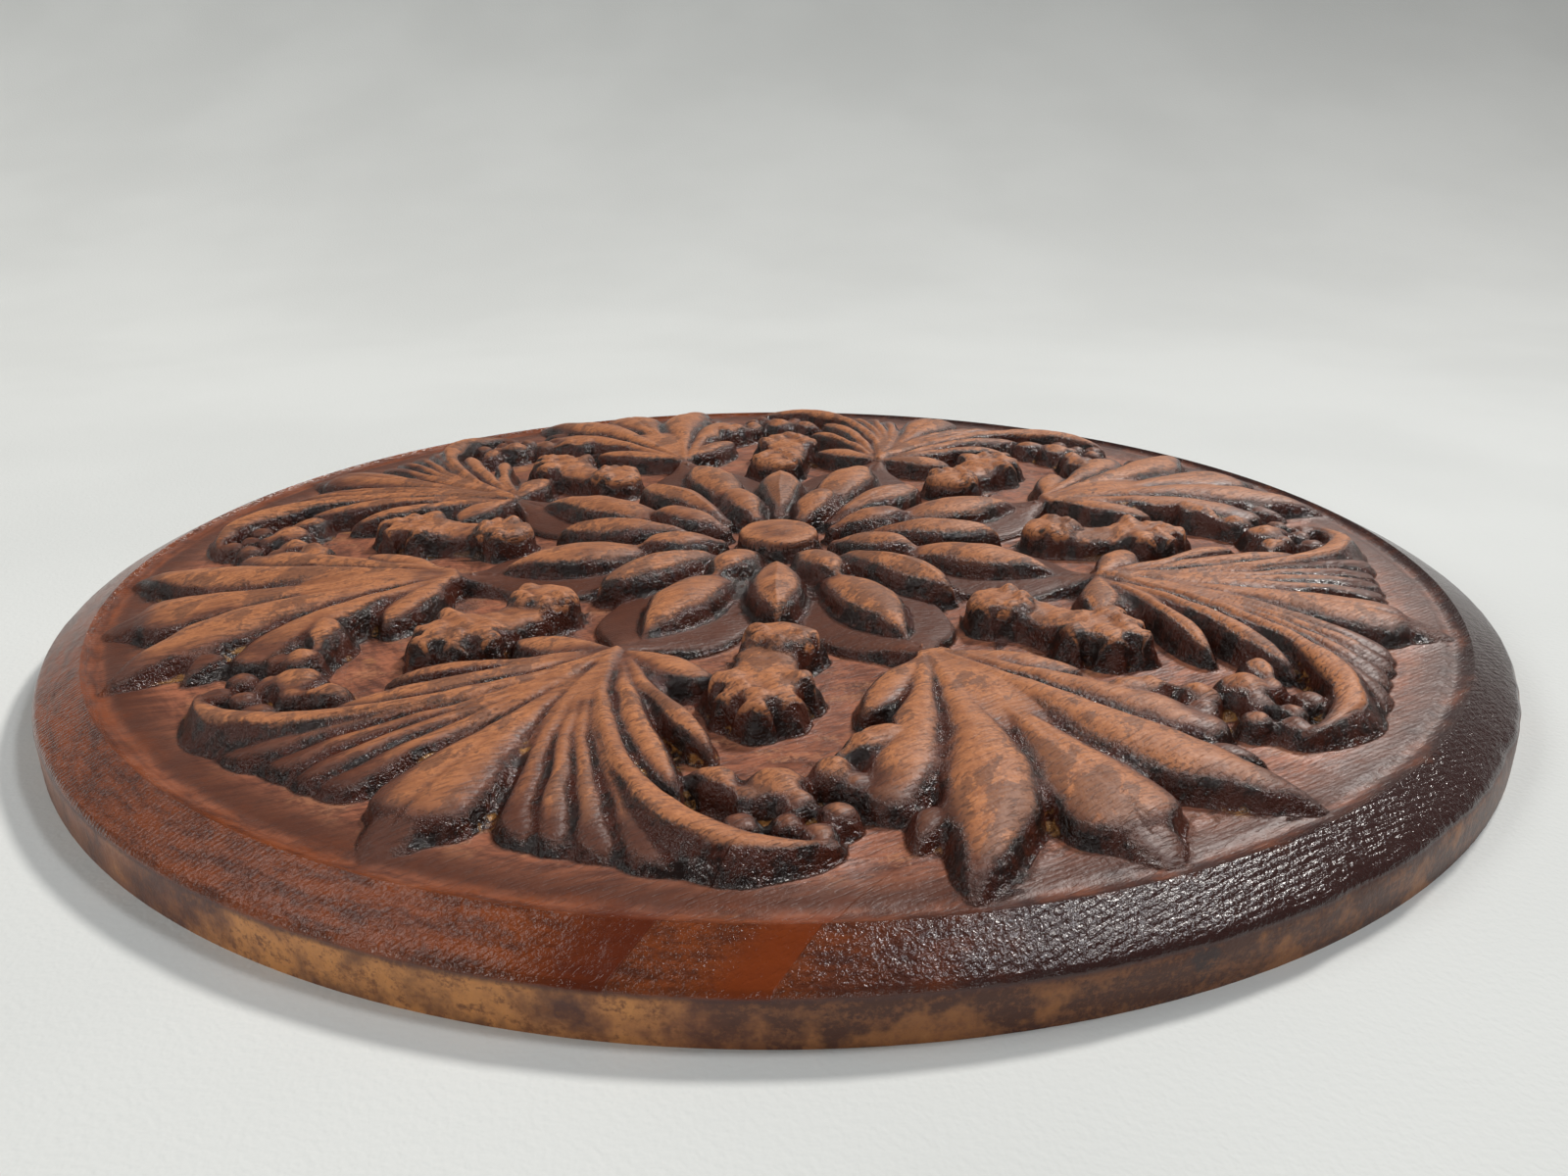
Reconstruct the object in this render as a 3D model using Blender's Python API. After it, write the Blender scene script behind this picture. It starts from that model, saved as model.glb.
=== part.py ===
"""A round wooden relief, carved in one piece: two kinds of leaf, grape bunches and a rosette.

The back lies on Z = 0 and the middle of the back is the origin. The carving repeats every 90
degrees and mirrors about each leaf, so one 45 degree wedge of it is worked out and used 8 times.
In the wedge, angle 0 runs down the middle of a curled leaf and 45 down the middle of a plain one.
"""
import bpy
import numpy as np

# The turned board, in metres
DISC_DIAMETER = 0.330
WALL_HEIGHT = 0.0084
EDGE_EASE = 0.0010
RIM_WIDTH = 0.0098
RIM_RISE = 0.0046
GROOVE_WIDTH = 0.0022
GROOVE_DEPTH = 0.0006
FIELD_DROP = 0.0018

# Heights of the carving above the field, in metres
LEAF_HEIGHT = 0.0058
GRAPE_HEIGHT = 0.0070
PETAL_HEIGHT = 0.0076
BUTTON_HEIGHT = 0.0062
UNDERLEAF_HEIGHT = 0.0022
SIDE_RUN = 0.0012

# The scroll's crest as radius share, angle and half width, the edge that its flutes fan up to as radius
# share and angle, the valleys between the flutes as shares of the way to that edge, and how far
# across a flute its highest line lies
CREST = [(0.485, 0.0, 0.009), (0.575, 3.2, 0.012), (0.640, 6.0, 0.015), (0.705, 9.0, 0.018),
         (0.760, 11.8, 0.022), (0.802, 14.2, 0.025), (0.838, 17.0, 0.029), (0.857, 19.8, 0.029),
         (0.862, 22.3, 0.024), (0.856, 24.6, 0.015), (0.843, 26.9, 0.003)]
FAN_EDGE = [(0.485, 0.0), (0.575, 3.2), (0.640, 6.0), (0.705, 9.0), (0.760, 11.8), (0.800, 13.6),
            (0.840, 15.2), (0.890, 17.0)]
FLUTES = [0.20, 0.33, 0.52, 0.70, 0.86, 1.08]
FLUTE_CREST = 0.25

# How finely the form is sampled, and how many triangles the solid keeps
WEDGE_STEPS = 80
RING_STEPS = 140
RIM_COARSENING = 4
TRIANGLE_SHARE = 0.05

WEDGE = 45.0
CURL_AXIS = 247.5
RADIUS = DISC_DIAMETER / 2
LIP_HEIGHT = WALL_HEIGHT + RIM_RISE
FIELD_LEVEL = LIP_HEIGHT - FIELD_DROP
LIP_RADIUS = RADIUS - RIM_WIDTH
GROOVE_RADIUS = LIP_RADIUS - GROOVE_WIDTH


def remove_everything():
    for thing in list(bpy.data.objects):
        bpy.data.objects.remove(thing, do_unlink=True)


def at(radius_share, angle):
    """A place in the wedge, from its share of the radius and its angle."""
    turn = np.radians(angle)
    return RADIUS * np.array([radius_share * np.cos(turn), radius_share * np.sin(turn)])


def smooth_rows(rows, steps=8):
    """Rows of numbers with smoothly changing rows put between them."""
    rows = np.array(rows, dtype=float)
    ends = np.vstack([2 * rows[0] - rows[1], rows, 2 * rows[-1] - rows[-2]])
    line = []
    for a, b, c, d in zip(ends, ends[1:], ends[2:], ends[3:]):
        for t in np.arange(steps) / steps:
            line.append(b + 0.5 * t * (c - a + t * (2 * a - 5 * b + 4 * c - d + t * (3 * (b - c) + d - a))))
    line.append(rows[-1])
    return np.array(line)


def along_and_aside(x, y, line):
    """How far along a line each point lies, in steps of the line, and how far to its left."""
    nearest = np.full(x.shape, 1e9)
    along = np.zeros(x.shape)
    aside = np.zeros(x.shape)
    for i, ((ax, ay), (bx, by)) in enumerate(zip(line, line[1:])):
        dx, dy = bx - ax, by - ay
        t = np.clip(((x - ax) * dx + (y - ay) * dy) / (dx * dx + dy * dy), 0, 1)
        gap_x, gap_y = x - ax - t * dx, y - ay - t * dy
        gap = np.hypot(gap_x, gap_y)
        closer = gap < nearest
        nearest = np.where(closer, gap, nearest)
        along = np.where(closer, i + t, along)
        aside = np.where(closer, np.sign(dx * gap_y - dy * gap_x) * gap, aside)
    return along, aside


def tongue(form, x, y, rows, heights, crown=0.45, bevel=0.0):
    """Raises a tongue on the form. Its rows give radius share, angle and half width from stalk to tip.
    heights are those of its stalk, middle and tip, crown rounds its top, bevel slopes its right side."""
    rows = smooth_rows(rows)
    line = at(rows[:, 0], rows[:, 1]).T
    wide = np.maximum(rows[:, 2], 0.001) * RADIUS
    reach = wide.max() + SIDE_RUN
    corner, far_corner = line.min(axis=0) - reach, line.max(axis=0) + reach
    near = (x > corner[0]) & (x < far_corner[0]) & (y > corner[1]) & (y < far_corner[1])
    step, aside = along_and_aside(x[near], y[near], line)
    wide = np.interp(step, np.arange(len(wide)), wide)
    along = step / (len(line) - 1)
    share = aside / wide
    stalk, middle, tip = heights
    spine = stalk * (1 - along) * (1 - 2 * along) + 4 * middle * along * (1 - along)
    spine = spine + tip * along * (2 * along - 1)
    top = spine * (1 - crown * np.minimum(np.abs(share), 1.3) ** 2.4 - bevel * np.clip(-0.05 - share, 0, 1))
    side = np.clip((wide - np.abs(aside)) / SIDE_RUN + 0.5, 0, 1)
    form[near] = np.maximum(form[near], top * side * side * (3 - 2 * side))


def berry(form, x, y, centre, size, height, rise=0.85):
    """Raises a round berry, whose foot stands straight, on the form."""
    radius = size * RADIUS
    share = np.hypot(x - centre[0], y - centre[1]) / radius
    near = share < 1
    ball = np.sqrt(1 - share[near] ** 2)
    form[near] = np.maximum(form[near], height - rise * radius * (1 - ball))


def plain_leaf(form, x, y):
    """A spearhead lobe, two long and two blunt side lobes, each with a barb, and small fingers."""
    web = [(0.487, 0, 0.010), (0.55, 0, 0.036), (0.62, 0, 0.066), (0.68, 0, 0.094), (0.73, 0, 0.104),
           (0.78, 0, 0.080)]
    parts = [
        ((0.80, 1.02, 0.10), 0.22, web),
        ((0.88, 1.00, 0.10), 0.42, [
            (0.487, 0, 0.010), (0.60, 0, 0.014), (0.68, 0, 0.022), (0.74, 0, 0.038), (0.80, 0, 0.054),
            (0.85, 0, 0.060), (0.872, 0, 0.053), (0.886, 0, 0.035), (0.910, 0, 0.024), (0.935, 0, 0.002)]),
        ((0.88, 1.18, 0.12), 0.44, [
            (0.487, 0.4, 0.010), (0.58, 2.9, 0.020), (0.66, 4.6, 0.031), (0.72, 5.5, 0.042),
            (0.78, 6.9, 0.050), (0.83, 8.5, 0.043), (0.875, 10.0, 0.030), (0.905, 11.1, 0.016),
            (0.930, 12.0, 0.002)]),
        ((0.88, 1.14, 0.75), 0.45, [
            (0.487, 1.5, 0.010), (0.58, 6.0, 0.020), (0.64, 8.5, 0.028), (0.70, 11.0, 0.036),
            (0.735, 12.4, 0.039), (0.766, 13.8, 0.031)]),
        ((0.35, 0.62, 0.30), 0.50, [
            (0.790, 10.6, 0.014), (0.815, 11.8, 0.021), (0.846, 13.4, 0.004)]),
        ((0.80, 0.88, 0.65), 0.50, [
            (0.487, 1.5, 0.008), (0.53, 3.2, 0.011), (0.57, 4.8, 0.012), (0.61, 7.6, 0.012),
            (0.635, 9.0, 0.005)]),
        ((0.80, 0.98, 0.70), 0.46, [
            (0.487, 1.0, 0.008), (0.515, 4.0, 0.018), (0.540, 6.8, 0.027), (0.566, 9.3, 0.030),
            (0.590, 11.3, 0.025), (0.605, 12.8, 0.010)]),
    ]
    for shape, crown, rows in parts:
        heights = tuple(LEAF_HEIGHT * h for h in shape)
        rows = [(radius, WEDGE - off, wide) for radius, off, wide in rows]
        tongue(form, x, y, rows, heights, crown)


def curled_leaf(form, x, y):
    """A spearhead lobe between two fluted scrolls, with four fingers inside each scroll."""
    parts = [
        ((0.85, 0.95, 0.10), 0.42, [
            (0.485, 0, 0.008), (0.60, 0, 0.014), (0.68, 0, 0.026), (0.74, 0, 0.041), (0.79, 0, 0.052),
            (0.835, 0, 0.057), (0.862, 0, 0.050), (0.874, 0, 0.034), (0.900, 0, 0.024), (0.932, 0, 0.002)]),
        ((0.85, 1.12, 0.50), 0.46, [
            (0.520, 2.8, 0.008), (0.585, 6.5, 0.016), (0.645, 9.6, 0.022), (0.700, 12.5, 0.023),
            (0.745, 14.9, 0.016), (0.777, 16.2, 0.003)]),
        ((0.60, 1.05, 0.50), 0.50, [
            (0.505, 3.0, 0.006), (0.560, 7.6, 0.011), (0.600, 11.0, 0.015), (0.636, 14.2, 0.019),
            (0.662, 16.0, 0.016), (0.686, 17.3, 0.004)]),
        ((0.80, 0.98, 0.55), 0.50, [
            (0.490, 2.0, 0.008), (0.538, 5.6, 0.014), (0.574, 8.6, 0.017), (0.592, 10.9, 0.014),
            (0.602, 12.8, 0.004)]),
        ((0.82, 0.98, 0.66), 0.46, [
            (0.485, 1.0, 0.010), (0.494, 5.0, 0.022), (0.508, 9.0, 0.031), (0.516, 12.4, 0.025),
            (0.517, 15.0, 0.009)]),
        ((0.80, 0.74, 0.20), 0.40, [
            (0.490, 1.0, 0.010), (0.530, 5.0, 0.030), (0.570, 7.6, 0.034), (0.605, 9.6, 0.022)]),
    ]
    for shape, crown, rows in parts:
        heights = tuple(LEAF_HEIGHT * h for h in shape)
        tongue(form, x, y, rows, heights, crown)
    scroll(form, x, y)


def scroll(form, x, y):
    """The rolled side of the leaf: shingled flutes that fan from the stalk, and the hooked crest."""
    reach = np.hypot(x, y) / RADIUS
    angle = np.degrees(np.arctan2(y, x))
    edge_reach, edge_angle = np.array(FAN_EDGE).T
    fan = angle / np.maximum(np.interp(reach, edge_reach, edge_angle), 0.2)
    flutes = np.array(FLUTES)
    index = np.clip(np.searchsorted(flutes, fan) - 1, 0, len(FLUTES) - 2)
    part = np.clip((fan - flutes[index]) / (flutes[index + 1] - flutes[index]), 0, 1)
    falling = 1 - (np.maximum(part - FLUTE_CREST, 0) / (1 - FLUTE_CREST)) ** 2.5
    shingle = np.where(part < FLUTE_CREST, np.sin(np.pi / 2 * part / FLUTE_CREST), falling)
    depth = 0.34 * np.clip((reach - 0.55) / 0.22, 0, 1)
    foot = 0.868 + 0.020 * np.clip((angle - 12) / 6, 0, 1) - 0.05 * np.clip((8 - angle) / 4, 0, 1) ** 2
    foot = foot - 0.007 * (1 - shingle)
    shoulder = np.clip((foot - reach) / 0.15, 0, 1)
    top = LEAF_HEIGHT * (0.06 + 0.94 * np.sqrt(shoulder * (2 - shoulder))) * (1 - depth * (1 - shingle))
    first = 0.20 + 0.10 * np.clip((reach - 0.66) / 0.14, 0, 1)
    start = np.clip((fan - first) / 0.06, 0, 1)
    outside = np.clip((foot - reach) * RADIUS / SIDE_RUN, 0, 1)
    inside = (fan > first) & (fan < 1.08) & (reach > edge_reach[0]) & (reach < edge_reach[-1])
    form[inside] = np.maximum(form[inside], (top * outside * (0.45 + 0.55 * start))[inside])
    heights = (LEAF_HEIGHT * 0.92, LEAF_HEIGHT * 1.14, LEAF_HEIGHT * 0.55)
    tongue(form, x, y, CREST, heights, crown=0.22, bevel=0.75)


def grapes(form, x, y):
    """An inner bunch in two tiers, an outer bunch and the berries that tie it to the plain leaf."""
    inner = [
        ((0.425, 23.4), 0.047, 1.02, 0.019, [(0.408, 17.6), (0.450, 19.0), (0.470, 22.6),
                                             (0.463, 26.6), (0.428, 30.2)]),
        ((0.550, 21.3), 0.050, 0.98, 0.023, [(0.548, 15.2), (0.594, 17.0), (0.624, 20.6),
                                             (0.602, 24.8), (0.545, 27.6)]),
    ]
    for centre, size, height, knob, tips in inner:
        berry(form, x, y, at(*centre), size, GRAPE_HEIGHT * height, 0.28)
        for i, tip in enumerate(tips):
            lift = 1.0 - 0.07 * (i % 2)
            middle = tuple(0.45 * a + 0.55 * b for a, b in zip(centre, tip))
            end = tuple(0.08 * a + 0.92 * b for a, b in zip(centre, tip))
            rows = [(*middle, 0.6 * knob), (*end, knob), (*tip, 0.5 * knob)]
            heights = (GRAPE_HEIGHT * height, GRAPE_HEIGHT * 0.98 * lift, GRAPE_HEIGHT * 0.55)
            tongue(form, x, y, rows, heights, crown=0.6)
            berry(form, x, y, at(*(0.42 * a + 0.58 * b for a, b in zip(centre, tip))), 0.8 * knob,
                  GRAPE_HEIGHT * (height + 0.08 * lift), 0.6)
    neck = [(0.450, 22.0, 0.040), (0.480, 21.6, 0.040), (0.510, 21.4, 0.046)]
    tongue(form, x, y, neck, (GRAPE_HEIGHT * 0.85, GRAPE_HEIGHT * 0.80, GRAPE_HEIGHT * 0.85), crown=0.3)
    outer = [
        (0.752, 23.0, 0.037, 0.84), (0.768, 21.2, 0.022, 0.66), (0.776, 24.4, 0.022, 0.66),
        (0.727, 27.4, 0.026, 0.80), (0.744, 28.8, 0.020, 0.62), (0.812, 20.7, 0.020, 0.58),
        (0.810, 23.7, 0.019, 0.56), (0.829, 25.7, 0.021, 0.56), (0.796, 27.2, 0.020, 0.60),
    ]
    for radius, angle, size, height in outer:
        berry(form, x, y, at(radius, angle), size, GRAPE_HEIGHT * height)
    links = [
        ((0.50, 0.78, 0.55), [(0.735, 16.6, 0.012), (0.742, 18.6, 0.026), (0.765, 20.4, 0.014)]),
        ((0.75, 0.98, 0.80), [(0.702, 28.6, 0.016), (0.684, 31.3, 0.032), (0.664, 34.4, 0.018)]),
    ]
    for shape, rows in links:
        tongue(form, x, y, rows, tuple(GRAPE_HEIGHT * h for h in shape), crown=0.7)


def rosette(form, x, y):
    """A button, a ring of small petals and two rings of eight petals, over a low star."""
    half = WEDGE / 2
    for axis in (0.0, WEDGE):
        star = [(0.20, axis, 0.10), (0.33, axis, 0.10), (0.40, axis, 0.082), (0.445, axis, 0.04),
                (0.49, axis, 0.01)]
        heights = (UNDERLEAF_HEIGHT * 1.4, UNDERLEAF_HEIGHT * 1.3, LEAF_HEIGHT * 0.80)
        tongue(form, x, y, star, heights, crown=0.45)
        petal = [(0.185, axis, 0.028), (0.235, axis, 0.037), (0.285, axis, 0.045), (0.335, axis, 0.043),
                 (0.385, axis, 0.026), (0.425, axis, 0.003)]
        heights = (PETAL_HEIGHT * 0.40, PETAL_HEIGHT * 1.02, PETAL_HEIGHT * 0.50)
        tongue(form, x, y, petal, heights, crown=0.38)
        small = [(0.098, axis, 0.018), (0.130, axis, 0.034), (0.165, axis, 0.038),
                 (0.195, axis, 0.030), (0.216, axis, 0.012)]
        heights = (PETAL_HEIGHT * 0.60, PETAL_HEIGHT * 1.04, PETAL_HEIGHT * 0.80)
        tongue(form, x, y, small, heights, crown=0.45)
    for axis in (-half, half, WEDGE + half):
        petal = [(0.125, axis, 0.016), (0.170, axis, 0.028), (0.220, axis, 0.039), (0.270, axis, 0.041),
                 (0.312, axis, 0.026), (0.342, axis, 0.003)]
        heights = (PETAL_HEIGHT * 0.45, PETAL_HEIGHT * 1.06, PETAL_HEIGHT * 0.50)
        tongue(form, x, y, petal, heights, crown=0.44)
    berry(form, x, y, at(0, 0), 0.062, BUTTON_HEIGHT, 0.18)


def board_level(radius):
    """The height of the turned board before carving: the sloped rim, a thin groove and the field."""
    rim = WALL_HEIGHT + RIM_RISE * np.clip((RADIUS - radius) / RIM_WIDTH, 0, 1)
    edge = np.clip((radius - RADIUS + EDGE_EASE) / EDGE_EASE, 0, 1)
    field = FIELD_LEVEL + 0.45 * FIELD_DROP * np.clip((radius / RADIUS - 0.84) / 0.09, 0, 1)
    groove = GROOVE_DEPTH * np.clip(1 - np.abs(radius - GROOVE_RADIUS) / GROOVE_WIDTH, 0, 1)
    return np.where(radius > LIP_RADIUS, rim - EDGE_EASE * edge ** 2, field - groove)


def surface(radius, angle):
    """The height of the front at a radius and an angle within the wedge."""
    x = radius * np.cos(np.radians(angle))
    y = radius * np.sin(np.radians(angle))
    carving = np.zeros(x.shape)
    for carve in (plain_leaf, curled_leaf, grapes, rosette):
        carve(carving, x, y)
    rest = board_level(radius)
    carved = np.where(carving > 0, FIELD_LEVEL + carving, 0)
    return np.where(radius < GROOVE_RADIUS, np.maximum(rest, carved), rest)


def carved_mesh():
    """The closed mesh: fine rings over the field, coarse rings for the rim and wall, and the flat back."""
    field = np.linspace(0, GROOVE_RADIUS - GROOVE_WIDTH, RING_STEPS)
    rim = [GROOVE_RADIUS, LIP_RADIUS, RADIUS - EDGE_EASE, RADIUS]
    wedge = np.linspace(0, WEDGE, WEDGE_STEPS + 1)
    grid_radius, grid_angle = np.meshgrid(field, wedge, indexing="ij")
    heights = surface(grid_radius, grid_angle)
    heights = np.tile(np.hstack([heights[:, :-1], heights[:, :0:-1]]), (1, 4))
    fine = heights.shape[1]
    coarse = fine // RIM_COARSENING
    turn = np.radians(CURL_AXIS) + np.arange(fine) * 2 * np.pi / fine
    points = [(0.0, 0.0, heights[0, 0])]
    for radius, row in zip(field[1:], heights[1:]):
        points += list(zip(radius * np.cos(turn), radius * np.sin(turn), row))
    carved_points = len(points)
    turn = turn[::RIM_COARSENING]
    levels = [(radius, float(board_level(np.float64(radius)))) for radius in rim] + [(RADIUS, 0.0)]
    for radius, level in levels:
        points += list(zip(radius * np.cos(turn), radius * np.sin(turn), np.full(coarse, level)))

    faces = [(0, 1 + k, 1 + (k + 1) % fine) for k in range(fine)]
    for ring in range(RING_STEPS - 2):
        inner = 1 + ring * fine
        outer = inner + fine
        for k in range(fine):
            after = (k + 1) % fine
            faces.append((inner + k, outer + k, outer + after, inner + after))
    last = carved_points - fine
    for k in range(coarse):
        here, after = carved_points + k, carved_points + (k + 1) % coarse
        inner = [last + (k * RIM_COARSENING + i) % fine for i in range(RIM_COARSENING + 1)]
        middle = RIM_COARSENING // 2
        faces += [(inner[i], here, inner[i + 1]) for i in range(middle)]
        faces.append((here, after, inner[middle]))
        faces += [(inner[i], after, inner[i + 1]) for i in range(middle, RIM_COARSENING)]
    for ring in range(len(levels) - 1):
        inner = carved_points + ring * coarse
        outer = inner + coarse
        for k in range(coarse):
            after = (k + 1) % coarse
            faces.append((inner + k, outer + k, outer + after, inner + after))
    faces.append(tuple(len(points) - 1 - k for k in range(coarse)))

    mesh = bpy.data.meshes.new("carved_roundel")
    mesh.from_pydata(points, [], faces)
    mesh.validate()
    mesh.update()
    return mesh, carved_points


def stained_wood():
    """Red-brown stained and varnished wood."""
    material = bpy.data.materials.new("stained_wood")
    material.use_nodes = True
    shader = material.node_tree.nodes["Principled BSDF"]
    shader.inputs["Base Color"].default_value = (0.20, 0.07, 0.03, 1)
    shader.inputs["Roughness"].default_value = 0.35
    shader.inputs["Metallic"].default_value = 0.0
    return material


def carved_roundel():
    """The roundel. The carved field is thinned out, and the true round rim and wall are kept."""
    mesh, carved_points = carved_mesh()
    mesh.materials.append(stained_wood())
    roundel = bpy.data.objects.new("carved_roundel", mesh)
    bpy.context.scene.collection.objects.link(roundel)
    carved = roundel.vertex_groups.new(name="carved_field")
    carved.add(list(range(carved_points)), 1.0, "REPLACE")
    thinner = roundel.modifiers.new("fewer_faces", "DECIMATE")
    thinner.decimate_type = "COLLAPSE"
    thinner.ratio = TRIANGLE_SHARE
    thinner.vertex_group = "carved_field"
    return roundel


remove_everything()
carved_roundel()
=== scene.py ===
"""A round wooden relief, carved in one piece and stained, lying on a pale table.

The carving repeats every 90 degrees and mirrors about each leaf, so one 45 degree wedge of it is
worked out as a field of heights, and used eight times round the board.
"""
from math import radians
import bpy
import numpy as np
from mathutils import Euler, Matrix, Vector


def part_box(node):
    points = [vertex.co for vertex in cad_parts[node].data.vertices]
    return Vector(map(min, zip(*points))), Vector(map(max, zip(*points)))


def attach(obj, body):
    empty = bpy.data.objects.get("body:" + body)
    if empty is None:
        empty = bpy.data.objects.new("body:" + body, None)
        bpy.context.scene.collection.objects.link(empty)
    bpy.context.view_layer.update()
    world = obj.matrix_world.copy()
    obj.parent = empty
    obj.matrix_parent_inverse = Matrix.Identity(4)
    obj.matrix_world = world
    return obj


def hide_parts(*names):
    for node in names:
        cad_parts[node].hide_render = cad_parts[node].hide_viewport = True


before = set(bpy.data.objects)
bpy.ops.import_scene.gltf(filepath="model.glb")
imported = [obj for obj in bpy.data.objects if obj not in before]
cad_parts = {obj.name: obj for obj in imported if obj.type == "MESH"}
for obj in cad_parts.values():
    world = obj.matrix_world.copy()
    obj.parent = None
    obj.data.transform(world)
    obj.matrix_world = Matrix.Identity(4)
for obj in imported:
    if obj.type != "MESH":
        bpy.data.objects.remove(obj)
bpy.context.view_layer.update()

# The camera
# A phone held a little above the table, in front of the board, with its wide lens.

low, high = (np.array(corner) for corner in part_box("carved_roundel"))
RADIUS = float(high[0] - low[0]) / 2

camera_data = bpy.data.cameras.new("camera")
camera_data.lens = 27
camera_data.sensor_width = 36
camera_data.clip_start = 0.01
camera = bpy.data.objects.new("camera", camera_data)
camera.location = (0.022 * RADIUS, -1.727 * RADIUS, 0.661 * RADIUS)
camera.rotation_euler = Euler((radians(90 - 20.83), radians(0.08), radians(0.42)))
bpy.context.scene.collection.objects.link(camera)
bpy.context.scene.camera = camera

# The board
# A round blank of close-grained wood, about 20 mm thick. Its edge is cut square, its face slopes
# up to a faint lip, and a thin groove parts the lip from the field that the carving stands on.

WALL_HEIGHT = 0.0084
EDGE_EASE = 0.0010
RIM_WIDTH = 0.0098
RIM_RISE = 0.0046
GROOVE_WIDTH = 0.0022
GROOVE_DEPTH = 0.0006
FIELD_DROP = 0.0018
LIP_HEIGHT = WALL_HEIGHT + RIM_RISE
FIELD_LEVEL = LIP_HEIGHT - FIELD_DROP
LIP_RADIUS = RADIUS - RIM_WIDTH
GROOVE_RADIUS = LIP_RADIUS - GROOVE_WIDTH


def board_level(radius):
    """The height of the board before carving: the sloped rim, the thin groove and the field."""
    rim = WALL_HEIGHT + RIM_RISE * np.clip((RADIUS - radius) / RIM_WIDTH, 0, 1)
    edge = np.clip((radius - RADIUS + EDGE_EASE) / EDGE_EASE, 0, 1)
    field = FIELD_LEVEL + 0.45 * FIELD_DROP * np.clip((radius / RADIUS - 0.84) / 0.09, 0, 1)
    groove = GROOVE_DEPTH * np.clip(1 - np.abs(radius - GROOVE_RADIUS) / GROOVE_WIDTH, 0, 1)
    return np.where(radius > LIP_RADIUS, rim - EDGE_EASE * edge ** 2, field - groove)


# The leaves, petals and berries
# Each lobe is a bent tongue with a rounded top and steep sides, laid along a line from its stalk
# to its tip, and each berry is a ball. Where two of them meet, the higher one shows.

LEAF_HEIGHT = 0.0058
GRAPE_HEIGHT = 0.0070
PETAL_HEIGHT = 0.0076
BUTTON_HEIGHT = 0.0062
UNDERLEAF_HEIGHT = 0.0022
SIDE_RUN = 0.0012
WEDGE = 45.0
CURL_AXIS = 247.5


def at(radius_share, angle):
    """A place in the wedge, from its share of the radius and its angle."""
    turn = np.radians(angle)
    return RADIUS * np.array([radius_share * np.cos(turn), radius_share * np.sin(turn)])


def smooth_rows(rows, steps=8):
    """Rows of numbers with smoothly changing rows put between them."""
    rows = np.array(rows, dtype=float)
    ends = np.vstack([2 * rows[0] - rows[1], rows, 2 * rows[-1] - rows[-2]])
    line = []
    for a, b, c, d in zip(ends, ends[1:], ends[2:], ends[3:]):
        for t in np.arange(steps) / steps:
            line.append(b + 0.5 * t * (c - a + t * (2 * a - 5 * b + 4 * c - d + t * (3 * (b - c) + d - a))))
    line.append(rows[-1])
    return np.array(line)


def along_and_aside(x, y, line):
    """How far along a line each point lies, in steps of the line, and how far to its left."""
    nearest = np.full(x.shape, 1e9)
    along = np.zeros(x.shape)
    aside = np.zeros(x.shape)
    for i, ((ax, ay), (bx, by)) in enumerate(zip(line, line[1:])):
        dx, dy = bx - ax, by - ay
        t = np.clip(((x - ax) * dx + (y - ay) * dy) / (dx * dx + dy * dy), 0, 1)
        gap_x, gap_y = x - ax - t * dx, y - ay - t * dy
        gap = np.hypot(gap_x, gap_y)
        closer = gap < nearest
        nearest = np.where(closer, gap, nearest)
        along = np.where(closer, i + t, along)
        aside = np.where(closer, np.sign(dx * gap_y - dy * gap_x) * gap, aside)
    return along, aside


def tongue(form, x, y, rows, heights, crown=0.45, crease=0.0, veins=0, bevel=0.0):
    """Raises a tongue on the form. Its rows give radius share, angle and half width from stalk to tip.
    heights are those of its stalk, middle and tip, crown rounds its top, crease cuts a line down its
    middle, veins are cut slantwise on both sides, and bevel slopes its right side down."""
    rows = smooth_rows(rows)
    line = at(rows[:, 0], rows[:, 1]).T
    wide = np.maximum(rows[:, 2], 0.001) * RADIUS
    reach = wide.max() + SIDE_RUN
    corner, far_corner = line.min(axis=0) - reach, line.max(axis=0) + reach
    near = (x > corner[0]) & (x < far_corner[0]) & (y > corner[1]) & (y < far_corner[1])
    step, aside = along_and_aside(x[near], y[near], line)
    wide = np.interp(step, np.arange(len(wide)), wide)
    along = step / (len(line) - 1)
    share = aside / wide
    stalk, middle, tip = heights
    spine = stalk * (1 - along) * (1 - 2 * along) + 4 * middle * along * (1 - along)
    spine = spine + tip * along * (2 * along - 1)
    top = spine * (1 - crown * np.minimum(np.abs(share), 1.3) ** 2.4 - bevel * np.clip(-0.05 - share, 0, 1))
    top = top - crease * np.exp(-(aside / 0.0005) ** 2) * np.clip(6 * along * (1.02 - along), 0, 1)
    if veins:
        slant = along * veins - 0.45 * np.abs(share)
        cut = np.exp(-((slant - np.round(slant)) / 0.10) ** 2)
        top = top - 0.00012 * cut * np.clip(3 * np.abs(share) * (1 - np.abs(share)), 0, 1)
    side = np.clip((wide - np.abs(aside)) / SIDE_RUN + 0.5, 0, 1)
    form[near] = np.maximum(form[near], top * side * side * (3 - 2 * side))


def uneven(x, y, size, seed):
    """Gentle waves in all directions, about size metres long and within 1 either way."""
    chance = np.random.default_rng(seed)
    total = np.zeros(x.shape)
    for turn, phase, stretch in chance.uniform(0, 1, (9, 3)):
        reach = 2 * np.pi / (size * (0.6 + 0.8 * stretch))
        total += np.sin(reach * (x * np.cos(6.3 * turn) + y * np.sin(6.3 * turn)) + 6.3 * phase)
    return total / 4


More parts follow.
